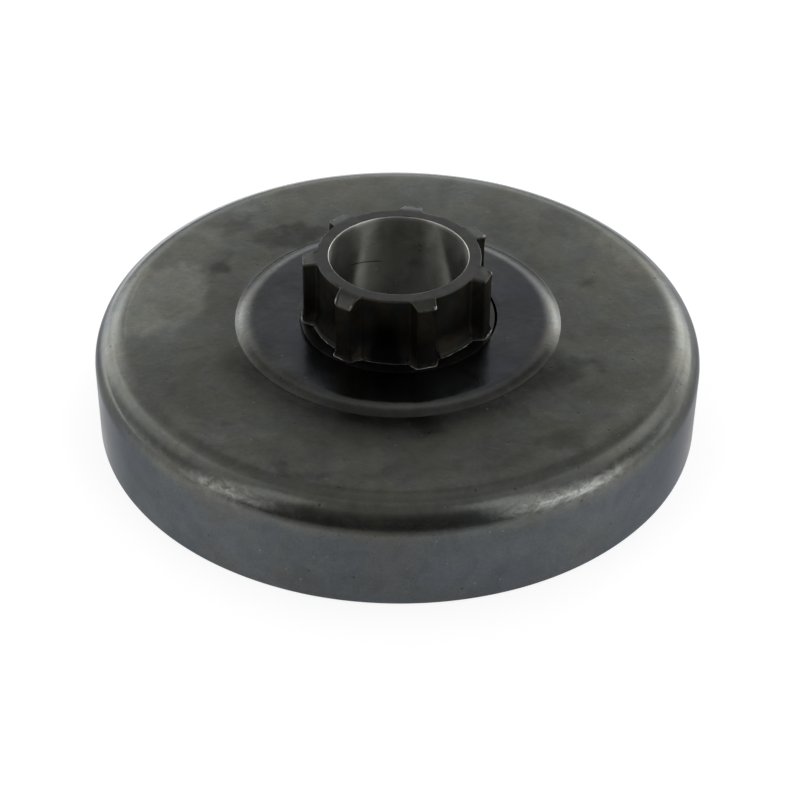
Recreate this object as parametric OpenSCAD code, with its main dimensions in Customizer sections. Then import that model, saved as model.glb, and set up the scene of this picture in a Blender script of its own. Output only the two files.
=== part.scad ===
// Chainsaw clutch drum with a splined hub that carries a rim sprocket.
// The drum is a shallow pressed steel cup. A turned hub with seven spline teeth
// is brazed through the middle of its disc.
// Millimetres. The origin is on the axis, in the plane of the drum's open rim,
// and +Z points from the open rim to the end of the spline.

/* [Drum shell] */
// Outside diameter of the drum's wall
drum_d = 71; // [60:0.5:90]
// Height from the open rim to the top of the flat disc
drum_h = 12.7; // [9:0.1:25]
// Thickness of the pressed sheet
sheet_t = 2; // [1.2:0.1:3]
// Outside radius of the bend between the disc and the wall
bend_r = 4; // [3.2:0.1:6]
// Width of the broken edges of the open rim
rim_break = 0.3; // [0.1:0.05:0.5]

/* [Raised middle] */
// Diameter at the foot of the raised middle
raise_d = 38.5; // [36:0.1:50]
// Height of the raised middle above the disc
raise_h = 0.6; // [0.3:0.05:1]
// Width of the rounded shoulder around the raised middle
shoulder_w = 2.2; // [1.5:0.05:3]

/* [Spline] */
// Number of spline teeth
tooth_count = 7; // [5:1:9]
// Diameter over the tips of the teeth
tip_d = 22.1; // [20.6:0.1:22.6]
// Diameter at the bottom of the valleys
root_d = 19; // [17.6:0.1:19.6]
// Width of a tooth at its tip
tip_w = 2.1; // [1.6:0.1:3]
// Angle between a tooth's flank and its centre line
flank_a = 14; // [5:1:20]
// Radius of the fillet between a flank and the valley
root_fillet_r = 0.5; // [0.2:0.05:0.6]
// Height of the spline above the raised middle
spline_h = 8.2; // [6:0.1:14]
// Radius of the run-out at the foot of the spline
runout_r = 0.5; // [0.2:0.05:0.6]
// Diameter at which the turned lead-in starts on the spline's end
lead_d = 19.4; // [18:0.1:20.4]
// Angle between the lead-in and the spline's flat end
lead_a = 15; // [5:1:30]
// Direction of the first tooth, turned from +X towards +Y
tooth_turn = 30; // [0:1:51]

/* [Hub] */
// Diameter of the bore that the needle bearing runs in
bore_d = 16; // [14:0.1:16.4]
// Width of the broken edges of the bore
bore_break = 0.12; // [0.05:0.01:0.3]
// Diameter of the plain seat that fills the hole in the disc
seat_d = 22.9; // [22.8:0.1:24]
// Depth of the seat's top face below the raised middle
seat_sink = 0.1; // [0.05:0.05:0.3]
// Diameter of the flange inside the drum
flange_d = 28; // [26:0.5:32]
// Thickness of the flange
flange_t = 2.4; // [1.5:0.1:2.5]
// Width of the broken edge of the flange
flange_break = 0.3; // [0.1:0.05:0.5]

/* [Braze joint] */
// Gap all round between the hub's seat and the hole in the disc
braze_gap = 0.05; // [0.02:0.01:0.1]
// Width of the broken edges that meet around the seat
joint_break = 0.15; // [0.05:0.01:0.2]
// Leg of the braze fillet around the flange
braze_leg = 0.8; // [0.4:0.1:1.2]

/* [Hidden] */
$fn = 96;

// Cutters reach this far past the faces that they cut through
past = 1;

drum_r = drum_d / 2;
raise_r = raise_d / 2;
tip_r = tip_d / 2;
root_r = root_d / 2;
lead_r = lead_d / 2;
bore_r = bore_d / 2;
seat_r = seat_d / 2;
flange_r = flange_d / 2;
hole_r = seat_r + braze_gap;

// Heights above the open rim
raise_z = drum_h + raise_h;
under_z = raise_z - sheet_t;
seat_z = raise_z - seat_sink;
hub_top_z = raise_z + spline_h;
hub_end_z = under_z - flange_t;

// The shoulder is an arc that leaves the raised middle level and drops raise_h over its width
shoulder_r = (shoulder_w * shoulder_w + raise_h * raise_h) / (2 * raise_h);

// The root fillet's centre, with x along the tooth: root_fillet_r outside the root circle
// and as far from the flank, whose line is y = flank_y - x * tan(flank_a)
flank_t = tan(flank_a);
flank_y = tip_w / 2 + tip_r * flank_t;
fillet_q = root_r + root_fillet_r;
fillet_k = flank_y + root_fillet_r / cos(flank_a);
fillet_x = (fillet_k * flank_t
    + sqrt(fillet_q * fillet_q * (1 + flank_t * flank_t) - fillet_k * fillet_k))
    / (1 + flank_t * flank_t);
fillet_y = fillet_k - fillet_x * flank_t;
// Straight steps in the fillet's arc, and the depth at which the outline starts below the valley
fillet_steps = 6;
start_depth = 0.05;

// Half section of a cup's outline: a block whose outer top corner is rounded
module rounded_block(r, h, corner_r) {
    square([r, h - corner_r]);
    square([r - corner_r, h]);
    translate([r - corner_r, h - corner_r]) circle(corner_r);
}

// Half section of the raised middle, standing on the height z
module raise_section(z) {
    translate([0, z]) square([raise_r - shoulder_w, raise_h]);
    intersection() {
        translate([raise_r - shoulder_w, z + raise_h - shoulder_r]) circle(shoulder_r);
        translate([0, z]) square([raise_r, raise_h]);
    }
}

// Half section of a 45 degree cutter for the edge at [r, z]: it takes width off each side
module edge_cut(r, z, width) {
    polygon([[r - width, z], [r, z - width], [r + width, z], [r, z + width]]);
}

// Half section of a concave fillet in the corner at [0, 0] between +x and +z
module hollow_fillet(leg) {
    difference() {
        square([leg, leg]);
        translate([leg, leg]) circle(leg);
    }
}

module drum_shell() {
    color([0.25, 0.26, 0.25]) rotate_extrude() difference() {
        intersection() {
            union() {
                rounded_block(drum_r, drum_h, bend_r);
                raise_section(drum_h);
            }
            translate([hole_r, 0]) square([drum_r, raise_z]);
        }
        translate([0, -past])
            rounded_block(drum_r - sheet_t, drum_h - sheet_t + past, bend_r - sheet_t);
        raise_section(drum_h - sheet_t);
        edge_cut(drum_r, 0, rim_break);
        edge_cut(drum_r - sheet_t, 0, rim_break);
        edge_cut(hole_r, raise_z, joint_break);
    }
}

// One flank of a tooth with its root fillet, from the valley to the tip. The first point lies
// just inside the root circle, and the last one just outside the tip circle.
function flank_points() =
    let (from = atan2(-fillet_y, -fillet_x), to = -90 - flank_a)
    [
        [(root_r - start_depth) * fillet_x / fillet_q, (root_r - start_depth) * fillet_y / fillet_q],
        for (i = [1 : fillet_steps])
            let (a = from + (to - from) * i / fillet_steps)
            [fillet_x + root_fillet_r * cos(a), fillet_y + root_fillet_r * sin(a)],
        [tip_r, tip_w / 2]
    ];

// One spline tooth, lying along +X
module tooth() {
    flank = flank_points();
    last = len(flank) - 1;
    intersection() {
        circle(tip_r);
        polygon(concat(flank, [for (i = [0 : last]) [flank[last - i].x, -flank[last - i].y]]));
    }
}

// Half section of the lead-in's cutter: it falls away from the spline's flat end outside lead_r
module lead_in_cut() {
    reach = tip_r + past;
    polygon([
        [lead_r, hub_top_z],
        [reach, hub_top_z - (reach - lead_r) * tan(lead_a)],
        [reach, hub_top_z + past],
        [lead_r, hub_top_z + past]
    ]);
}

module splined_hub() {
    color([0.17, 0.17, 0.16]) difference() {
        union() {
            // Spline
            translate([0, 0, seat_z]) linear_extrude(hub_top_z - seat_z) union() {
                circle(root_r);
                for (i = [0 : tooth_count - 1]) rotate(tooth_turn + i * 360 / tooth_count) tooth();
            }
            // Run-out at the foot of the valleys
            rotate_extrude() translate([root_r, seat_z]) hollow_fillet(runout_r);
            // Plain seat and flange
            rotate_extrude() difference() {
                union() {
                    translate([0, under_z]) square([seat_r, seat_z - under_z]);
                    translate([0, hub_end_z]) square([flange_r, flange_t]);
                }
                edge_cut(seat_r, seat_z, joint_break);
                edge_cut(flange_r, hub_end_z, flange_break);
            }
        }
        // Lead-in on the ends of the teeth
        rotate_extrude() lead_in_cut();
        // Bearing bore with both edges broken
        translate([0, 0, hub_end_z - past]) cylinder(r = bore_r, h = hub_top_z - hub_end_z + 2 * past);
        rotate_extrude() edge_cut(bore_r, hub_top_z, bore_break);
        rotate_extrude() edge_cut(bore_r, hub_end_z, bore_break);
    }
}

// Filler metal in the corner between the flange's rim and the inside of the disc
module braze_fillet() {
    color([0.36, 0.27, 0.2]) rotate_extrude() translate([flange_r, under_z]) mirror([0, 1])
        polygon([[0, 0], [braze_leg, 0], [0, braze_leg]]);
}

drum_shell();
splined_hub();
braze_fillet();
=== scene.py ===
"""A chainsaw clutch drum: a cup pressed from steel sheet, with a splined hub brazed through its middle."""
import math

import bpy
import numpy as np
from mathutils import Matrix, Vector


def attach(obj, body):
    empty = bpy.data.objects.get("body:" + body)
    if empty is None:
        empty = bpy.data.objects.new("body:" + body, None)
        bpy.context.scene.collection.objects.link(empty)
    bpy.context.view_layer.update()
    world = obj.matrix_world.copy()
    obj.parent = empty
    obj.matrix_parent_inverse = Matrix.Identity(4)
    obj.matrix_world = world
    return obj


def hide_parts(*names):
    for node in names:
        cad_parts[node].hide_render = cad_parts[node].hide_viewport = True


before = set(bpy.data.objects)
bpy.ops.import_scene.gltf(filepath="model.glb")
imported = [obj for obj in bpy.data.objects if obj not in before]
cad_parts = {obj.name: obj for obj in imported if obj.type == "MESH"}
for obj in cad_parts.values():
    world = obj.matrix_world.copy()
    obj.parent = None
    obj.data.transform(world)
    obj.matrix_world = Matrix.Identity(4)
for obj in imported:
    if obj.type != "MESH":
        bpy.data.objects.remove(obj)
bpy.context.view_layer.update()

# Camera. The photograph looks down on the disc from a little over half a metre's arm,
# close enough for the far rim to look smaller than the near one.
eye = Vector((0.0, -0.199532, 0.153120))
aim = Vector((0.001360, 0.794324, -0.607493)).normalized()
top = Vector((-0.010809, 0.607470, 0.794269))
side = aim.cross(top).normalized()
top = side.cross(aim)
camera = bpy.data.objects.new("camera", bpy.data.cameras.new("camera"))
bpy.context.scene.collection.objects.link(camera)
camera.matrix_world = Matrix.Translation(eye) @ Matrix((side, top, -aim)).transposed().to_4x4()
camera.data.lens = 93.727
camera.data.sensor_width = 36.0
camera.data.clip_start = 0.01
camera.data.clip_end = 20.0
bpy.context.scene.camera = camera


# Drum shell. A shallow cup deep drawn from 2 mm steel sheet, with a round raised middle.
# Its dark oxide comes from the furnace in which the hub was brazed in, and the handling
# since then has rubbed the bend and left faint smudges and pale specks.
drum_r = 35.5
drum_h = 12.7
sheet = 2.0
bend_r = 4.0
raise_r = 19.1
raise_z = 13.3
steep = 30.0
foot_r = 0.3
hole_r = 11.5
rim_break = 0.3


def run(start, end, steps, crowd=0.0):
    """Points of a straight run, end left out: start + (end - start) * s, with s eased towards both ends by crowd."""
    s = np.arange(steps) / steps
    s = s - crowd * np.sin(2 * np.pi * s) / (2 * np.pi)
    return np.array(start) + np.outer(s, np.array(end) - np.array(start))


def bend(centre, radius, first, last, steps):
    """Points of an arc, end left out: centre + radius * (cos a, sin a), with a going evenly from first to last degrees."""
    a = np.radians(first + (last - first) * np.arange(steps) / steps)
    return np.array(centre) + radius * np.stack([np.cos(a), np.sin(a)], axis=1)


def shoulder(top, steps):
    """The raised middle's shoulder, from its level top down to its foot at raise_r, end left out.

    A round turns the surface down to the angle steep, where a small hollow arc of foot_r levels it out
    again, so that both arcs drop (round_r + foot_r) * (1 - cos steep), the height of the raised middle.
    """
    lean = math.radians(steep)
    reach = (raise_z - drum_h) / (1 - math.cos(lean))
    round_r = reach - foot_r
    upper = bend((raise_r - reach * math.sin(lean), top - round_r), round_r, 90, 90 - steep, steps)
    lower = bend((raise_r, top - raise_z + drum_h + foot_r), foot_r, 270 - steep, 270, steps // 3)
    return np.concatenate([upper, lower])


def drum_section():
    """The drum's cross section as a closed loop of (radius, height), from the hole's top edge outwards and round."""
    over = shoulder(raise_z, 16)
    under = shoulder(raise_z - sheet, 10)[::-1]
    level = drum_h - sheet
    last = drum_r - bend_r
    return np.concatenate([
        bend((hole_r + 0.15, raise_z - 0.15), 0.15, 180, 90, 4),
        run((hole_r + 0.15, raise_z), over[0], 9),
        over,
        run((raise_r, drum_h), (last, drum_h), 22),
        bend((last, drum_h - bend_r), bend_r, 90, 0, 24),
        run((drum_r, drum_h - bend_r), (drum_r, rim_break), 16, 0.3),
        bend((drum_r - rim_break, rim_break), rim_break, 0, -90, 5),
        run((drum_r - rim_break, 0), (drum_r - sheet + rim_break, 0), 4, 0.3),
        bend((drum_r - sheet + rim_break, rim_break), rim_break, 270, 180, 5),
        run((drum_r - sheet, rim_break), (drum_r - sheet, drum_h - bend_r), 12, 0.3),
        bend((last, drum_h - bend_r), bend_r - sheet, 0, 90, 12),
        run((last, level), (raise_r, level), 14),
        [(raise_r, level)],
        under,
        run((under[-1][0] - 0.1, raise_z - sheet), (hole_r, raise_z - sheet), 6, 0.3),
        run((hole_r, raise_z - sheet), (hole_r, raise_z - 0.15), 4, 0.3),
    ])


def ripple(x, y, seed, longest, shortest, count=9):
    """A smooth uneven field in -1..1: the mean of sine waves of random heading, phase and length at the points x, y."""
    dice = np.random.default_rng(seed)
    heading = dice.uniform(0, 2 * np.pi, count)
    phase = dice.uniform(0, 2 * np.pi, count)
    wave = 2 * np.pi / np.geomspace(longest, shortest, count)
    along = x[..., None] * np.cos(heading) + y[..., None] * np.sin(heading)
    return np.sin(along * wave + phase).mean(axis=-1) * 1.8


def ring_piece(name, points, *materials):
    """A closed ring-shaped piece from points[turn, step] in millimetres, joined round both ways with quads."""
    turns, steps = points.shape[:2]
    i, j = np.meshgrid(np.arange(turns), np.arange(steps), indexing="ij")
    i2, j2 = (i + 1) % turns, (j + 1) % steps
    quads = np.stack([i * steps + j, i * steps + j2, i2 * steps + j2, i2 * steps + j], axis=-1)
    mesh = bpy.data.meshes.new(name)
    mesh.from_pydata(points.reshape(-1, 3) * 0.001, [], quads.reshape(-1, 4))
    mesh.shade_smooth()
    for material in materials:
        mesh.materials.append(material)
    piece = bpy.data.objects.new(name, mesh)
    bpy.context.scene.collection.objects.link(piece)
    return piece


def spread(piece, name, values):
    """Stores one number per vertex on the piece, for its material to read."""
    layer = piece.data.attributes.new(name, "FLOAT", "POINT")
    layer.data.foreach_set("value", np.ascontiguousarray(values.reshape(-1), dtype=np.float32))


def add(tree, kind, *inputs, **settings):
    """Adds a node. inputs fill its sockets in order, with None to skip, a socket to link or a number to set."""
    node = tree.nodes.new("ShaderNode" + kind)
    for key, value in settings.items():
        setattr(node, key, value)
    sockets = [s for s in node.inputs if s.enabled]
    for socket, value in zip(sockets, inputs):
        if isinstance(value, bpy.types.NodeSocket):
            tree.links.new(value, socket)
        elif value is not None:
            socket.default_value = value
    return node


def sums(tree, operation, a, b=None, c=None):
    """One Math node's result."""
    return add(tree, "Math", a, b, c, operation=operation).outputs[0]


def steps_of(tree, value, stops, smooth=False):
    """A colour ramp over value: stops are (place, grey or RGB)."""
    ramp = add(tree, "ValToRGB", value)
    ramp.color_ramp.interpolation = "EASE" if smooth else "LINEAR"
    while len(ramp.color_ramp.elements) < len(stops):
        ramp.color_ramp.elements.new(1.0)
    for element, (place, shade) in zip(ramp.color_ramp.elements, stops):
        rgb = (shade,) * 3 if isinstance(shade, (int, float)) else shade
        element.position = place
        element.color = (*rgb, 1.0)
    return ramp.outputs[0]


def blend(tree, amount, a, b, kind="MIX"):
    """Two colours mixed by amount."""
    mix = add(tree, "Mix", data_type="RGBA", blend_type=kind)
    mix.clamp_factor = True
    for index, value in ((0, amount), (6, a), (7, b)):
        if isinstance(value, bpy.types.NodeSocket):
            tree.links.new(value, mix.inputs[index])
        elif index == 0:
            mix.inputs[0].default_value = value
        else:
            mix.inputs[index].default_value = (*value, 1.0)
    return mix.outputs[2]


def noise(tree, place, scale, detail=4.0, rough=0.55, twist=0.0):
    """Noise in 0..1 over a place in millimetres, with scale in waves per millimetre."""
    return add(tree, "TexNoise", place, scale, detail, rough, 2.0, twist).outputs["Fac"]


def begin(name):
    """A new material: its tree, its surface shader and the place on the piece in millimetres."""
    material = bpy.data.materials.new(name)
    material.use_nodes = True
    tree = material.node_tree
    shader = tree.nodes["Principled BSDF"]
    spot = add(tree, "TexCoord").outputs["Object"]
    place = add(tree, "Mapping", spot, None, None, (1000.0, 1000.0, 1000.0)).outputs[0]
    return material, tree, shader, place


def pits(tree, place, scale, size, share):
    """Round specks in 0..1: inside size of a random cell's point, in the share of the cells that a second colour picks."""
    cell = add(tree, "TexVoronoi", place, scale, feature="F1").outputs
    chosen = add(tree, "MapRange", add(tree, "SeparateColor", cell["Color"]).outputs[0], 1 - share, 1.01 - share, 0.0, 1.0).outputs[0]
    return sums(tree, "MULTIPLY", chosen, add(tree, "MapRange", cell["Distance"], size * scale, size * scale * 0.6, 0.0, 1.0).outputs[0])


def drum_steel():
    """Dark furnace oxide: bluish on the wall, warmer on the disc, darkest round the hub, with smudges and rubbed
    places, painted shade on the front of the disc, shoulder and bend, and painted highlights on the bend at front left
    and front right.
    """
    material, tree, shader, place = begin("drum_oxide")
    split = add(tree, "SeparateXYZ", place).outputs
    radius = add(tree, "VectorMath", add(tree, "CombineXYZ", split[0], split[1], 0.0).outputs[0], operation="LENGTH").outputs["Value"]
    by_radius = steps_of(tree, sums(tree, "DIVIDE", radius, 40.0), [
        (0.29, (0.050, 0.051, 0.054)), (0.42, (0.051, 0.053, 0.057)), (0.44, (0.083, 0.085, 0.081)),
        (0.50, (0.077, 0.079, 0.072)), (0.62, (0.085, 0.087, 0.077)), (0.80, (0.099, 0.101, 0.091)), (0.87, (0.097, 0.100, 0.093))])
    on_wall = add(tree, "MapRange", split[2], 10.5, 8.0, 0.0, 1.0, interpolation_type="SMOOTHSTEP").outputs[0]
    base = blend(tree, on_wall, by_radius, (0.084, 0.090, 0.095))
    # The stain layer holds real smudges and painted shade; it darkens or lightens the base.
    stain_and_painted_shade = add(tree, "Attribute", attribute_name="stain_and_painted_shade").outputs["Fac"]
    edge = sums(tree, "MULTIPLY_ADD", noise(tree, place, 0.5, 6.0, 0.6, 0.8), 0.8, -0.4)
    base = blend(tree, 1.0, base, steps_of(tree, sums(tree, "ADD", 0.5, sums(tree, "MULTIPLY", sums(tree, "ADD", stain_and_painted_shade, sums(tree, "MULTIPLY", edge, sums(tree, "ABSOLUTE", stain_and_painted_shade))), 0.5)), [
        (0.0, 0.35), (0.30, 0.72), (0.42, 0.96), (0.5, 1.0), (0.58, 1.05), (0.75, 1.32), (1.0, 1.7)]), "MULTIPLY")
    cloud = noise(tree, place, 0.09, 5.0, 0.6, 0.6)
    base = blend(tree, 1.0, base, steps_of(tree, cloud, [(0.30, 0.84), (0.52, 1.0), (0.72, 1.12)]), "MULTIPLY")
    smudge = noise(tree, place, 0.32, 6.0, 0.62, 1.2)
    base = blend(tree, 1.0, base, steps_of(tree, smudge, [(0.30, 0.86), (0.55, 1.0), (0.75, 1.1)]), "MULTIPLY")
    tint = noise(tree, place, 0.16, 2.0, 0.5, 0.4)
    base = blend(tree, 1.0, base, steps_of(tree, tint, [
        (0.30, (1.04, 1.0, 0.95)), (0.50, (1.0, 1.0, 0.99)), (0.70, (0.97, 0.995, 1.04))]), "MULTIPLY")
    fine = noise(tree, place, 4.0, 3.0, 0.6)
    base = blend(tree, 1.0, base, steps_of(tree, fine, [(0.30, 0.90), (0.70, 1.10)]), "MULTIPLY")
    worn_and_painted_highlight = add(tree, "Attribute", attribute_name="wear_and_painted_highlight").outputs["Fac"]
    drawn = add(tree, "Mapping", place, None, None, (0.7, 0.7, 1.5)).outputs[0]
    streaks = sums(tree, "MULTIPLY_ADD", noise(tree, drawn, 1.0, 6.0, 0.7, 0.8), 5.0, -2.6)
    # Where the wear layer is high the base turns lighter: rubbed metal, and painted highlights on the bend at front
    # left and front right.
    rubbed_and_painted_highlight = add(tree, "MapRange", sums(tree, "MULTIPLY", worn_and_painted_highlight, sums(tree, "ADD", 1.0, streaks)), 0.12, 1.0, 0.0, 1.0).outputs[0]
    dust = pits(tree, place, 0.7, 0.13, 0.22)
    base = blend(tree, sums(tree, "MAXIMUM", sums(tree, "MULTIPLY", dust, 0.55), rubbed_and_painted_highlight), base, (0.19, 0.194, 0.183))
    hole = sums(tree, "MAXIMUM", pits(tree, place, 0.55, 0.20, 0.45), sums(tree, "MULTIPLY", pits(tree, place, 1.5, 0.10, 0.30), 0.7))
    base = blend(tree, sums(tree, "MULTIPLY", hole, 0.55), base, (0.02, 0.02, 0.019))
    base = blend(tree, add(tree, "MapRange", worn_and_painted_highlight, 0.0, -0.9, 0.0, 1.0).outputs[0], base, (0.012, 0.012, 0.012))
    tree.links.new(base, shader.inputs["Base Color"])
    shader.inputs["Metallic"].default_value = 1.0
    shader.inputs["Specular Tint"].default_value = (0.55, 0.56, 0.58, 1.0)
    gloss = add(tree, "MapRange", sums(tree, "ADD", cloud, sums(tree, "MULTIPLY", smudge, 0.6)), 0.5, 1.2, 0.18, 0.28).outputs[0]
    sleek = add(tree, "Attribute", attribute_name="sleek").outputs["Fac"]
    tree.links.new(sums(tree, "MULTIPLY_ADD", rubbed_and_painted_highlight, 0.03, sums(tree, "MULTIPLY_ADD", sleek, -0.09, gloss)), shader.inputs["Roughness"])
    height = sums(tree, "ADD", sums(tree, "MULTIPLY", noise(tree, place, 1.3, 4.0, 0.55), 0.010),
                  sums(tree, "ADD", sums(tree, "MULTIPLY", fine, 0.0020), sums(tree, "MULTIPLY", hole, -0.012)))
    bump = add(tree, "Bump", 1.0, 0.001, None, height)
    tree.links.new(bump.outputs[0], shader.inputs["Normal"])
    return material


turns = 512
angle = np.arange(turns) / turns * 2 * np.pi
section = drum_section()
r, z = section[:, 0][None, :], section[:, 1][None, :]
x, y = r * np.cos(angle)[:, None], r * np.sin(angle)[:, None]
outward = np.clip((r - 30.0) / 5.0, 0, 1)
dent = (0.5 + 0.5 * ripple(x, y, 7, 34.0, 9.0)) * 0.035
shrink = 1 - outward * dent / drum_r
dip = (1 - outward) * np.clip((r - 12.5) / 6, 0, 1) * dent * (z > 9)
drum = ring_piece("clutch_drum", np.stack([x * shrink, y * shrink, np.broadcast_to(z, x.shape) - dip], axis=-1), drum_steel())
az = np.degrees(angle)[:, None]
slope = np.degrees(np.arctan2(r - (drum_r - bend_r), z - (drum_h - bend_r)))
above = z > 9.0
on_bend = np.exp(-((slope - 57) / 15.0) ** 2) * (r > drum_r - bend_r) * above
# Painted highlights: these patches lighten the bend at front left and front right, over the rubbed metal round the
# whole bend and at the bottom edge.
wear_and_painted_highlight_patches = 0.5 * np.exp(-((az - 238) / 7.0) ** 2) + 0.62 * np.exp(-((az - 303) / 12.0) ** 2)
edge = np.exp(-((z - 0.1) / 0.18) ** 2) * (r > 33.0)
gap = np.exp(-(((az - 2 + 180) % 360 - 180) / 27) ** 4) + 0.5 * np.exp(-((az - 194) / 9) ** 2)
joint = (r < hole_r + 0.05) * 0.9 * gap
spread(drum, "wear_and_painted_highlight", np.clip(on_bend * (0.15 + wear_and_painted_highlight_patches) + edge * 0.55, 0, 1) - joint)
on_shoulder = above * np.clip((r - 16.8) / 0.5, 0, 1) * np.clip((19.3 - r) / 0.3, 0, 1)
beside = np.cos(np.radians(az)) ** 2
spread(drum, "sleek", on_shoulder + 0.8 * beside * np.exp(-((slope - 42) / 24.0) ** 4) * (r > drum_r - bend_r) * above)
# Painted shade in the stain layer: the front of the bend at its dark band and on both cheeks beside it, the front of
# the shoulder, and the disc in front of the shoulder and the hub. A faint darker ring lies outside the shoulder's foot
# all round, and crease lightens a thin line round the bend.
front = np.clip((np.cos(np.radians(az - 270)) - 0.25) / 0.3, 0, 1)
crease = np.exp(-((slope - 27) / 4.2) ** 2) * (r > drum_r - bend_r) * above
halo = np.exp(-((r - 19.6) / 1.3) ** 2) * (r > 19.0)
painted_dark_band = np.exp(-((slope - 60) / 17.0) ** 4) * np.exp(-((az - 268) / 19.0) ** 4) * (r > drum_r - bend_r) * above
shaded = np.clip((r - 19.3) / 0.4, 0, 1) * np.clip((31.5 - r) / 2, 0, 1) * (0.25 + 0.3 * np.exp(-((r - 20.8) / 2.0) ** 2)) * above
painted_shade_cheeks = np.exp(-((np.abs(az - 270) - 44) / 25.0) ** 4) * np.exp(-((slope - 57) / 17.0) ** 4) * (r > drum_r - bend_r) * above
stain_and_painted_shade = 0.45 * crease - 0.4 * painted_shade_cheeks - 0.82 * painted_dark_band - 0.7 * on_shoulder * front * np.clip((r - 17.8) / 0.5, 0, 1) - halo * 0.08 - front * (0.4 * halo + shaded)
# Lighter and darker smudges on the disc, listed one by one, are added to the same layer.
bent_x, bent_y = x + 1.6 * ripple(x, y, 31, 16.0, 2.0, 12), y + 1.6 * ripple(x, y, 32, 16.0, 2.0, 12)
for cx, cy, rx, ry, lean, tone in (
        (-28, 3, 6, 8.5, -15, 0.75), (-25, 14, 4.5, 6, 0, 0.35), (-19, 24, 6, 2.5, 40, 0.45), (-21.8, 10.5, 2.2, 2.6, 0, -0.6),
        (-20.5, 20, 3, 3.5, 0, -0.4), (-13, 17.5, 6, 3.5, 20, -0.55), (27, 15, 2.4, 7, 30, 0.45), (20, 21, 5, 3.5, 0, -0.25),
        (22, 8, 1.8, 1.8, 0, -0.45), (29.5, 4.5, 1.4, 3, 0, -0.3), (20.5, -10, 5, 2.2, 25, -0.4), (-16, -23, 4.5, 2.2, -20, 0.35),
        (-13.6, -4.5, 2.4, 1.3, 20, 0.35), (-12, -9, 2.8, 1.6, -40, 0.3), (-15, 3, 1.6, 3, 10, 0.2), (14, -5, 1.8, 3, 20, 0.2),
        (-10.5, -29, 4.5, 1.5, -15, -0.6), (-4, -26.5, 3.5, 3, 0, 0.35), (3.5, -21.5, 2.8, 1.6, 0, -0.45), (18, -22.5, 3.2, 2.5, 30, -0.4)):
    c, d = math.cos(math.radians(lean)), math.sin(math.radians(lean))
    u, v = ((bent_x - cx) * c + (bent_y - cy) * d) / rx, ((bent_y - cy) * c - (bent_x - cx) * d) / ry
    stain_and_painted_shade = stain_and_painted_shade + tone * np.clip((1.0 - np.hypot(u, v)) * min(rx, ry) / 1.5, 0, 1) * above * (r < 32)
spread(drum, "stain_and_painted_shade", stain_and_painted_shade)
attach(drum, "root")
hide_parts("drum_shell")


# Splined hub. One turned steel piece: seven milled teeth, a plain seat that fills the hole in
# the disc, a flange inside the drum and a bearing bore right through. Milling left a small
# run-out and burrs round the foot of the spline, and nicks on the corners of its teeth.
teeth = 7
tip_r = 11.05
root_r = 9.5
tip_half = 1.05
flank_a = math.radians(14)
valley_r = 0.5
corner_r = 0.28
first_tooth = 30.0
seat_r = 11.45
seat_z = 13.2
seat_break = 0.05
hub_top = 21.5
hub_end = 8.9
flange_r = 14.0
flange_top = 11.3
bore_r = 8.0
bore_break = 0.12
lead_from = 9.7
lead_fall = math.tan(math.radians(15))


def half_tooth():
    """Half the outline of one tooth, from the middle of its tip to the middle of the next valley, as (x, y) along +X.

    Tip circle, corner of corner_r, straight flank leaning flank_a, hollow fillet of valley_r, root circle.
    """
    lean = math.tan(flank_a)
    flank = tip_half + tip_r * lean
    corner_q = tip_r - corner_r
    k = flank - corner_r / math.cos(flank_a)
    cx = (k * lean + math.sqrt(corner_q ** 2 * (1 + lean ** 2) - k ** 2)) / (1 + lean ** 2)
    cy = k - cx * lean
    fillet_q = root_r + valley_r
    k = flank + valley_r / math.cos(flank_a)
    vx = (k * lean + math.sqrt(fillet_q ** 2 * (1 + lean ** 2) - k ** 2)) / (1 + lean ** 2)
    vy = k - vx * lean
    tip_end = math.degrees(math.atan2(cy, cx))
    fillet_end = math.degrees(math.atan2(vy, vx))
    flank_dir = 90 - math.degrees(flank_a)
    corner = bend((cx, cy), corner_r, tip_end, flank_dir, 5)
    leave = np.array((cx, cy)) + corner_r * np.array((math.sin(flank_a), math.cos(flank_a)))
    enter = np.array((vx, vy)) - valley_r * np.array((math.sin(flank_a), math.cos(flank_a)))
    return np.concatenate([
        bend((0, 0), tip_r, 0, tip_end, 7),
        corner,
        run(leave, enter, 6),
        bend((vx, vy), valley_r, flank_dir + 180, fillet_end + 180, 7),
        bend((0, 0), root_r, fillet_end, 180 / teeth, 9),
        [(root_r * math.cos(math.pi / teeth), root_r * math.sin(math.pi / teeth))],
    ])


def spline_outline():
    """The closed outline of the spline: each half tooth and its mirror image, turned to every tooth."""
    half = half_tooth()
    other = half[1:-1][::-1] * [1, -1]
    whole = np.concatenate([half, turn_by(other, 2 * np.pi / teeth)])
    return np.concatenate([turn_by(whole, math.radians(first_tooth) + k * 2 * np.pi / teeth) for k in range(teeth)])


def turn_by(points, a):
    """Points turned about the axis: (x cos a - y sin a, x sin a + y cos a)."""
    return points @ np.array([[math.cos(a), math.sin(a)], [-math.sin(a), math.cos(a)]])


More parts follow.
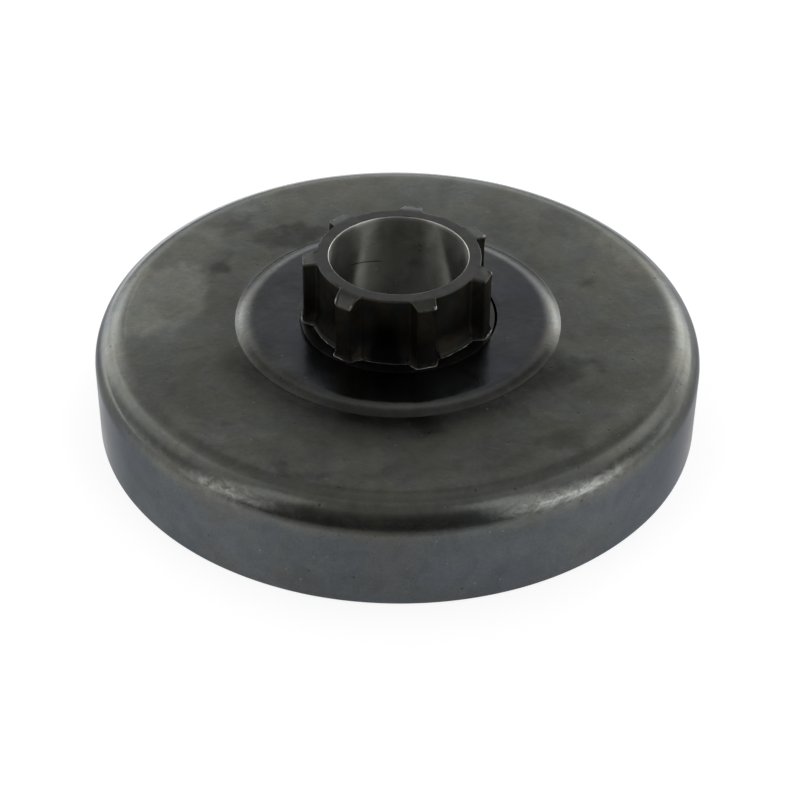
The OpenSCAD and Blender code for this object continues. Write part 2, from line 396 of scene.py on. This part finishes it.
def hub_steel():
    """Dark oxide on milled steel, with brown and blue-green tints in the valleys and bare metal on the sharp edges; the
    bare layer also paints shade down the tooth sides, in the front valley and on the front of the seat, and paints
    highlights on one tooth tip and along the lip at the foot of the spline.
    """
    material, tree, shader, place = begin("hub_oxide")
    cloud = noise(tree, place, 0.35, 4.0, 0.6, 0.8)
    base = steps_of(tree, cloud, [(0.32, (0.038, 0.038, 0.036)), (0.55, (0.047, 0.047, 0.044)), (0.75, (0.060, 0.058, 0.054))])
    sides = add(tree, "Attribute", attribute_name="sides").outputs["Fac"]
    tint = steps_of(tree, noise(tree, place, 0.55, 3.0, 0.6, 0.5), [
        (0.36, (0.85, 0.95, 0.95)), (0.47, (0.95, 1.0, 0.85)), (0.56, (1.2, 0.95, 0.72)), (0.68, (1.05, 0.9, 0.9))])
    base = blend(tree, sides, base, blend(tree, 1.0, base, tint, "MULTIPLY"))
    bare_and_painted_light = add(tree, "Attribute", attribute_name="bare_and_painted_light").outputs["Fac"]
    rubbed_and_painted_highlight = add(tree, "MapRange", sums(tree, "ADD", bare_and_painted_light, sums(tree, "MULTIPLY", noise(tree, place, 2.2, 4.0, 0.65), 0.6)),
                 0.72, 1.05, 0.0, 1.0).outputs[0]
    base = blend(tree, rubbed_and_painted_highlight, base, (0.34, 0.34, 0.32))
    # Below zero the layer darkens the base: painted shade, and the dark joint.
    base = blend(tree, add(tree, "MapRange", bare_and_painted_light, 0.0, -1.0, 0.0, 1.0).outputs[0], base, (0.003, 0.003, 0.003))
    tree.links.new(base, shader.inputs["Base Color"])
    shader.inputs["Metallic"].default_value = 0.96
    shader.inputs["Specular Tint"].default_value = (0.55, 0.56, 0.58, 1.0)
    tree.links.new(sums(tree, "MULTIPLY_ADD", sides, 0.08, add(tree, "MapRange", cloud, 0.3, 0.7, 0.26, 0.36).outputs[0]), shader.inputs["Roughness"])
    height = sums(tree, "ADD", sums(tree, "MULTIPLY", noise(tree, place, 1.6, 4.0), 0.012),
                  sums(tree, "MULTIPLY", noise(tree, place, 6.0, 2.0), 0.002))
    tree.links.new(add(tree, "Bump", 1.0, 0.001, None, height).outputs[0], shader.inputs["Normal"])
    return material


def bore_steel():
    """The ground bore: fine marks round the axis draw each reflection out into an upright streak."""
    material, tree, shader, place = begin("bore_steel")
    split = add(tree, "SeparateXYZ", place).outputs
    grain = add(tree, "CombineXYZ", sums(tree, "MULTIPLY", split[0], 0.15), sums(tree, "MULTIPLY", split[1], 0.15), sums(tree, "MULTIPLY", split[2], 9.0)).outputs[0]
    lines = noise(tree, grain, 1.0, 3.0, 0.6)
    cloud = noise(tree, place, 0.4, 4.0, 0.6, 0.6)
    base = steps_of(tree, cloud, [(0.35, (0.26, 0.26, 0.242)), (0.65, (0.33, 0.33, 0.305))])
    base = blend(tree, 1.0, base, steps_of(tree, lines, [(0.3, 0.94), (0.7, 1.06)]), "MULTIPLY")
    across = sums(tree, "ABSOLUTE", sums(tree, "ADD", sums(tree, "MULTIPLY_ADD", split[0], 0.21, -14.96), split[2]))
    reach = sums(tree, "MULTIPLY", add(tree, "MapRange", sums(tree, "ABSOLUTE", sums(tree, "ADD", split[0], 3.9)), 2.3, 1.2, 0.0, 1.0).outputs[0],
                 add(tree, "MapRange", split[1], 0.0, 1.0, 0.0, 1.0).outputs[0])
    scored = sums(tree, "MULTIPLY", add(tree, "MapRange", across, 0.13, 0.05, 0.0, 1.0).outputs[0], reach)
    base = blend(tree, sums(tree, "MULTIPLY", scored, 0.75), base, (0.03, 0.03, 0.028))
    base = blend(tree, pits(tree, place, 0.8, 0.14, 0.2), base, (0.45, 0.45, 0.43))
    base = blend(tree, sums(tree, "MULTIPLY", pits(tree, place, 0.65, 0.11, 0.15), 0.6), base, (0.05, 0.05, 0.047))
    tree.links.new(base, shader.inputs["Base Color"])
    shader.inputs["Metallic"].default_value = 1.0
    shader.inputs["Specular Tint"].default_value = (0.6, 0.6, 0.6, 1.0)
    shader.inputs["Anisotropic"].default_value = 1.0
    shader.inputs["Anisotropic Rotation"].default_value = 0.25
    tree.links.new(add(tree, "Tangent", direction_type="RADIAL", axis="Z").outputs[0], shader.inputs["Tangent"])
    tree.links.new(add(tree, "MapRange", cloud, 0.3, 0.7, 0.27, 0.31).outputs[0], shader.inputs["Roughness"])
    tree.links.new(add(tree, "Bump", 1.0, 0.001, None, sums(tree, "MULTIPLY", lines, 0.0004)).outputs[0], shader.inputs["Normal"])
    return material


outline = spline_outline()
ahead = np.roll(outline, -1, axis=0) - np.roll(outline, 1, axis=0)
out = np.stack([ahead[:, 1], -ahead[:, 0]], axis=1)
out /= np.linalg.norm(out, axis=1, keepdims=True)
spoke = outline / np.linalg.norm(outline, axis=1, keepdims=True)
reach = np.linalg.norm(outline, axis=1)
around = np.degrees(np.arctan2(outline[:, 1], outline[:, 0])) % 360
dice = np.random.default_rng(21)


def rough_line(seed, longest, shortest):
    """An uneven value in -1..1 along the spline's outline."""
    return ripple(outline[:, 0], outline[:, 1], seed, longest, shortest, 12)


def burr(at, half, tall):
    """A bump of the given height round one azimuth of the outline: tall * exp(-(turn / half)^2), half in degrees."""
    away = (around - at + 180) % 360 - 180
    return tall * np.exp(-(away / half) ** 2)


step = 0.14 + 0.05 * rough_line(8, 4.0, 0.6)
foot = 0.16 + 0.42 * (tip_r - reach) / (tip_r - root_r) + 0.07 * rough_line(3, 9.0, 0.9)
lip = 0.03 + 0.03 * rough_line(5, 5.0, 0.5)
lip = lip + burr(240.9, 1.6, 0.12) + burr(230.2, 0.9, 0.12) + burr(292.2, 1.5, 0.20) + burr(282.5, 0.8, 0.06)
lip = lip + burr(343.6, 1.2, 0.16) + burr(25.0, 1.8, 0.18) + burr(35.5, 1.0, 0.08) + burr(136.5, 1.5, 0.10) + burr(79.0, 1.8, 0.10)
nick = np.clip(rough_line(27, 6.0, 0.8) - 0.35, 0, 0.6) * 0.3
lip = np.clip(lip, 0, 0.2) - nick
edge_r = 0.10
# Painted shade darkens the valley that faces the front; a painted highlight lightens the tip of one tooth.
painted_valley_shade = np.exp(-((around - 261.4) / 9.5) ** 4)
painted_highlight_tip = np.exp(-((around - 338.6) / 5.0) ** 4) * (reach > 10.8)
gap = np.exp(-(((around - 2 + 180) % 360 - 180) / 27) ** 4) + 0.5 * np.exp(-((around - 194) / 9) ** 2)
chip = np.exp(-((around - 236) / 7.0) ** 6)
circle = lambda radius, height: np.concatenate([spoke * radius, np.full((len(spoke), 1), height)], axis=1)
around_spline = lambda offset, height: np.concatenate(
    [outline + out * np.reshape(offset, (-1, 1)), np.reshape(height, (-1, 1)) * np.ones((len(outline), 1))], axis=1)
rings, marks = [], []


def led_in(points):
    """The turned lead-in on the teeth: past lead_from the end face falls by lead_fall for each millimetre of radius."""
    far = np.linalg.norm(points[:, :2], axis=1)
    fall = lead_fall * np.clip(far - lead_from, 0, None) + chip * 0.8 * np.clip((far - 10.35) / 0.7, 0, 1)
    return points - fall[:, None] * [0, 0, 1]


def ring(points, part, sides=0.0, bare_and_painted_light=0.0):
    """Adds one ring of the hub: its points, which surface it starts, and how much it shows tints; its bare value
    lightens it towards bare metal and painted highlights, and below zero darkens it for the dark joint and painted
    shade.
    """
    rings.append(points)
    marks.append((part, sides * np.ones(len(points)), bare_and_painted_light * np.ones(len(points))))


for height in hub_end + bore_break + (hub_top - hub_end - 2 * bore_break) * np.linspace(0, 1, 22):
    ring(circle(bore_r, height), 1)
marks[-1] = (0, marks[-1][1], marks[-1][2] + 0.75)
ring(circle(bore_r + bore_break * 0.4, hub_top - bore_break * 0.25), 0, bare_and_painted_light=0.9)
ring(circle(bore_r + bore_break, hub_top), 0, bare_and_painted_light=0.4)
for share in np.linspace(0.06, 1, 9):
    start, end = circle(bore_r + bore_break, hub_top), around_spline(-edge_r * 2, hub_top)
    ring(led_in(start + (end - start) * share), 0)
for a in np.radians((0, 30, 60, 90)):
    rise = lip * math.cos(a)
    raised = led_in(around_spline(-edge_r * (1 - math.sin(a)) + lip * 0.5 * math.sin(a), hub_top - edge_r * (1 - math.cos(a)) + rise * 0.5))
    ring(np.minimum(raised, [np.inf, np.inf, hub_top]), 0, sides=math.sin(a), bare_and_painted_light=np.clip(lip * 3.5, 0, 0.6))
fallen = around_spline(0, hub_top) - led_in(around_spline(0, hub_top))
# The tooth sides get painted shade, darker towards the foot and in the front valley, and a painted highlight on one
# tooth tip.
for drop in (0.25, 0.5, 1.0, 1.6, 2.4, 3.2, 4.0, 4.6, 5.2):
    ring(led_in(around_spline(lip * 0.5 * max(0, 1 - drop / 0.7), hub_top - edge_r - drop)) + (drop / 5.2) ** 2 * fallen, 0, sides=1.0,
         bare_and_painted_light=np.maximum(0.38 * painted_highlight_tip - 0.25 - 0.6 * painted_valley_shade * min(1, drop / 4.0) - 0.2 * (drop / 5.2) ** 2, -1))
# Painted shade at the foot of the spline, darker towards the seat and in the front valley.
for share in (0, 0.2, 0.4, 0.6, 0.8, 1):
    ring(around_spline(foot * share ** 1.5, seat_z + step + foot * 4.0 * (1 - share)), 0, sides=1.0, bare_and_painted_light=np.maximum(-0.45 - 0.35 * share ** 0.5 - 0.6 * painted_valley_shade, -1))
# A painted highlight along the lip at the foot of the spline, weaker in the front valley.
painted_lip_highlight = 0.45 + 0.3 * rough_line(14, 7.0, 0.7) - 0.25 * painted_valley_shade
for a, bare_and_painted_light in ((30, 0.0), (55, painted_lip_highlight), (80, painted_lip_highlight), (100, 0.0)):
    a = math.radians(a)
    ring(around_spline(foot + 0.06 - 0.06 * math.cos(a), seat_z + step * (1 - math.sin(a - 0.52) * 0.35)), 0, bare_and_painted_light=bare_and_painted_light)
# Painted shade over the front half of the seat's top; the gap keeps its dark joint.
shade = np.clip(-np.sin(np.radians(around)), 0, 1)
level_up = np.clip(1 - gap, 0, 1)[:, None]
filled = np.concatenate([spoke * (0.27 * level_up - 0.12 * (1 - level_up)), 0.102 * level_up], axis=1)
sunk = np.concatenate([spoke * 0, -0.15 * (1 - level_up)], axis=1)
for share in (0.02, 0.3, 0.6, 0.95, 0.99):
    start = around_spline(foot + 0.08, seat_z + 0.1 * level_up[:, 0])
    end = circle(seat_r - seat_break, seat_z) + filled
    ring(start + (end - start) * share, 0, bare_and_painted_light=-0.3 * shade * (1 - share))
ring(circle(seat_r - seat_break, seat_z) + filled, 0, bare_and_painted_light=-0.9 * gap)
ring(circle(seat_r, seat_z - seat_break) + filled * [1, 1, 0.2] + sunk, 0, bare_and_painted_light=-0.9 * gap)
for height in (seat_z - 0.2, flange_top + 0.3, flange_top):
    ring(circle(seat_r, height), 0)
for radius in (seat_r + 0.3, flange_r - 0.3, flange_r):
    ring(circle(radius, flange_top), 0)
for height in (flange_top - 0.3, hub_end + 0.6, hub_end + 0.3):
    ring(circle(flange_r, height), 0)
for a in np.radians((22, 45, 68)):
    ring(circle(flange_r - 0.3 + 0.3 * math.cos(a), hub_end + 0.3 - 0.3 * math.sin(a)), 0, bare_and_painted_light=0.3)
ring(circle(flange_r - 0.3, hub_end), 0, bare_and_painted_light=0.3)
for radius in (flange_r - 0.6, 12.0, 10.5, 9.0, bore_r + 0.3):
    ring(circle(radius, hub_end), 0)
ring(circle(bore_r + bore_break, hub_end), 0, bare_and_painted_light=0.4)
ring(circle(bore_r + 0.05, hub_end + 0.05), 0, bare_and_painted_light=0.5)
points = np.stack(rings, axis=1)
hub = ring_piece("spline_hub", points, hub_steel(), bore_steel())
spread(hub, "sides", np.stack([m[1] for m in marks], axis=1))
spread(hub, "bare_and_painted_light", np.stack([m[2] for m in marks], axis=1))
hub.data.polygons.foreach_set("material_index", np.tile([m[0] for m in marks], len(outline)).astype(np.int32))
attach(hub, "root")
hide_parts("splined_hub")


# Braze fillet. The filler ran out of the joint in the furnace and set as an uneven hollow
# ring in the corner between the flange and the disc, seen only from inside the drum.
def braze_metal():
    """Dull copper-rich filler, darkened by the furnace, with brighter flecks."""
    material, tree, shader, place = begin("braze_metal")
    cloud = noise(tree, place, 0.8, 5.0, 0.6, 0.6)
    base = steps_of(tree, cloud, [(0.32, (0.10, 0.066, 0.038)), (0.55, (0.20, 0.125, 0.062)), (0.75, (0.31, 0.21, 0.11))])
    tree.links.new(base, shader.inputs["Base Color"])
    shader.inputs["Metallic"].default_value = 1.0
    tree.links.new(add(tree, "MapRange", cloud, 0.3, 0.7, 0.48, 0.34).outputs[0], shader.inputs["Roughness"])
    height = sums(tree, "MULTIPLY", noise(tree, place, 2.4, 4.0), 0.03)
    tree.links.new(add(tree, "Bump", 1.0, 0.001, None, height).outputs[0], shader.inputs["Normal"])
    return material


leg = 0.8
corner = np.array((flange_r, flange_top))
turn = np.arange(360) / 360 * 2 * np.pi
uneven = 0.82 + 0.18 * ripple(np.cos(turn) * 14, np.sin(turn) * 14, 12, 30.0, 2.0, 10)
hollow = bend((leg, -leg), leg, 180, 90, 12)
hollow = np.concatenate([hollow, [(leg, 0.0)], run((leg, 0), (0, 0), 3)[1:], [(0.0, 0.0)], run((0, 0), (0, -leg), 3)[1:]])[::-1]
across = np.clip(uneven, 0.45, 1.0)[:, None, None] * hollow[None]
across[..., 0] += corner[0] - 0.02
across[..., 1] += corner[1] + 0.0
braze = ring_piece("braze_ring", np.stack([across[..., 0] * np.cos(turn)[:, None], across[..., 0] * np.sin(turn)[:, None], across[..., 1]], axis=-1), braze_metal())
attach(braze, "root")
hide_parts("braze_fillet")


# Studio. A white table in a light tent, with two soft boxes near the camera and a bright
# back; the room behind the camera is dark, which shades the front of the metal.
def floor_white():
    """White paper: it shows as white, less what the drum's shadow takes from its lit share. What metal mirrors of it is
    painted light and shade by place: brighter towards the back and far behind on the left, dimmer next to the drum,
    close behind it and on its right, dark inside it apart from two lit strips that the bore mirrors, and lighter in
    front on both sides.
    """
    material = bpy.data.materials.new("floor_white")
    material.use_nodes = True
    tree = material.node_tree
    tree.nodes.clear()
    seen = add(tree, "LightPath").outputs
    place = add(tree, "TexCoord").outputs["Object"]
    deep = add(tree, "MapRange", add(tree, "SeparateXYZ", place).outputs[1], -0.11, 0.12, 0.5, 1.5).outputs[0]
    away = add(tree, "VectorMath", place, operation="LENGTH").outputs["Value"]
    spot = add(tree, "SeparateXYZ", place).outputs
    across = sums(tree, "ABSOLUTE", spot[0])
    track = sums(tree, "ABSOLUTE", sums(tree, "MULTIPLY_ADD", across, -0.30, sums(tree, "MULTIPLY_ADD", spot[0], 0.24, sums(tree, "ADD", spot[1], 0.0059))))
    fan = sums(tree, "MULTIPLY", sums(tree, "MULTIPLY", add(tree, "MapRange", track, 0.004, 0.001, 0.0, 1.0).outputs[0], sums(tree, "LESS_THAN", away, 0.03)),
               add(tree, "MapRange", across, 0.011, 0.021, 0.2, 3.0).outputs[0])
    inside = sums(tree, "MAXIMUM", sums(tree, "MAXIMUM", add(tree, "MapRange", away, 0.031, 0.0345, 0.0, 1.0).outputs[0], fan), seen["Transparent Depth"])
    near = sums(tree, "MULTIPLY", add(tree, "MapRange", away, 0.038, 0.075, 0.82, 1.0).outputs[0], inside)
    beside = sums(tree, "MULTIPLY", add(tree, "MapRange", sums(tree, "ABSOLUTE", spot[0]), 0.006, 0.028, 0.0, 0.5).outputs[0],
                  add(tree, "MapRange", spot[1], -0.004, -0.02, 0.0, 1.0).outputs[0])
    right = sums(tree, "MULTIPLY", add(tree, "MapRange", spot[0], 0.026, 0.037, 0.0, 0.2).outputs[0],
                 add(tree, "MapRange", spot[1], -0.022, 0.002, 0.0, 1.0).outputs[0])
    dim = sums(tree, "MULTIPLY", sums(tree, "MAXIMUM", right, add(tree, "MapRange", spot[1], 0.004, 0.016, 0.0, 0.5).outputs[0]),
               add(tree, "MapRange", away, 0.07, 0.05, 0.0, 1.0).outputs[0])
    glare = sums(tree, "MULTIPLY", sums(tree, "MULTIPLY", add(tree, "MapRange", away, 0.06, 0.09, 0.0, 1.2).outputs[0], add(tree, "MapRange", spot[1], 0.02, 0.06, 0.0, 1.0).outputs[0]),
                 add(tree, "MapRange", spot[0], 0.0, 0.05, 1.0, 0.1).outputs[0])
    # What glossy rays see of the paper: painted light and shade, set by place.
    shown = sums(tree, "MULTIPLY", sums(tree, "MULTIPLY", deep, near), sums(tree, "SUBTRACT", sums(tree, "ADD", sums(tree, "ADD", 1.0, glare), beside), dim))
    mirrored = sums(tree, "MULTIPLY", seen["Is Glossy Ray"], shown)
    shows = sums(tree, "MAXIMUM", seen["Is Camera Ray"], seen["Is Transmission Ray"])
    glow = add(tree, "Emission", (1, 1, 1, 1), sums(tree, "MULTIPLY_ADD", shows, 0.80, mirrored)).outputs[0]
    paper = add(tree, "BsdfDiffuse", (0.30, 0.30, 0.30, 1.0)).outputs[0]
    lit = add(tree, "AddShader", glow, paper).outputs[0]
    below = add(tree, "NewGeometry").outputs["Backfacing"]
    clear = add(tree, "BsdfTransparent").outputs[0]
    tree.links.new(add(tree, "MixShader", below, lit, clear).outputs[0], add(tree, "OutputMaterial").inputs[0])
    return material


sheet_mesh = bpy.data.meshes.new("floor")
sheet_mesh.from_pydata([(-6, -6, 0), (6, -6, 0), (6, 6, 0), (-6, 6, 0)], [], [(0, 1, 2, 3)])
sheet_mesh.materials.append(floor_white())
floor = bpy.data.objects.new("floor", sheet_mesh)
bpy.context.scene.collection.objects.link(floor)

world = bpy.data.worlds.new("tent")
bpy.context.scene.world = world
world.use_nodes = True
sky = world.node_tree
sky.nodes.clear()
heading = add(sky, "TexCoord").outputs["Generated"]
light = 0.2
for turned, lifted, wide, level in (
        (120, 21, 6, 2.6), (60, 21, 6, 3.6), (75, 64, 14, 0.35),
        (132, 3, 12, 4.0), (114, 25, 11, 1.9), (145, 23, 12, 1.6), (89, 16, 12, 2.4), (66, 25, 11, 2.1),
        (48, 6, 13, 4.6), (16, 0, 12, 1.6), (23, 34, 12, 1.3), (337, 0, 15, 3.6),
        (200, 6, 12, 1.2), (173, 0, 13, 1.5), (165, 45, 22, 0.8), (350, 53, 22, 0.6), (250, 50, 25, 0.18)):
    a, e = math.radians(turned), math.radians(lifted)
    towards = add(sky, "VectorMath", heading, (math.cos(a) * math.cos(e), math.sin(a) * math.cos(e), math.sin(e)), operation="DOT_PRODUCT").outputs["Value"]
    fall = math.log(2) / (1 - math.cos(math.radians(wide)))
    box = sums(sky, "EXPONENT", sums(sky, "MULTIPLY_ADD", towards, fall, -fall))
    light = sums(sky, "MULTIPLY_ADD", box, level, light)
part = add(sky, "SeparateXYZ", heading).outputs
compass = sums(sky, "DEGREES", sums(sky, "ARCTAN2", part[1], part[0]))
height = sums(sky, "DEGREES", sums(sky, "ARCSINE", part[2]))
for turned, wide, lifted, tall, level in ((-40, 13, 38, 27, 1.25), (-148, 14, 37, 28, 1.0)):
    aside = sums(sky, "ABSOLUTE", sums(sky, "ADD", compass, -turned))
    upright = sums(sky, "ABSOLUTE", sums(sky, "ADD", height, -lifted))
    pane = sums(sky, "MULTIPLY", add(sky, "MapRange", aside, wide + 3, wide - 3, 0.0, 1.0, interpolation_type="SMOOTHSTEP").outputs[0],
                add(sky, "MapRange", upright, tall + 4, tall - 4, 0.0, 1.0, interpolation_type="SMOOTHSTEP").outputs[0])
    light = sums(sky, "MULTIPLY_ADD", pane, level, light)
seen = add(sky, "LightPath").outputs["Is Camera Ray"]
light = sums(sky, "MULTIPLY_ADD", light, sums(sky, "SUBTRACT", 1.0, seen), seen)
sky.links.new(add(sky, "Background", (1, 1, 1, 1), light).outputs[0], add(sky, "OutputWorld").inputs[0])

bpy.context.scene.view_settings.view_transform = "Standard"
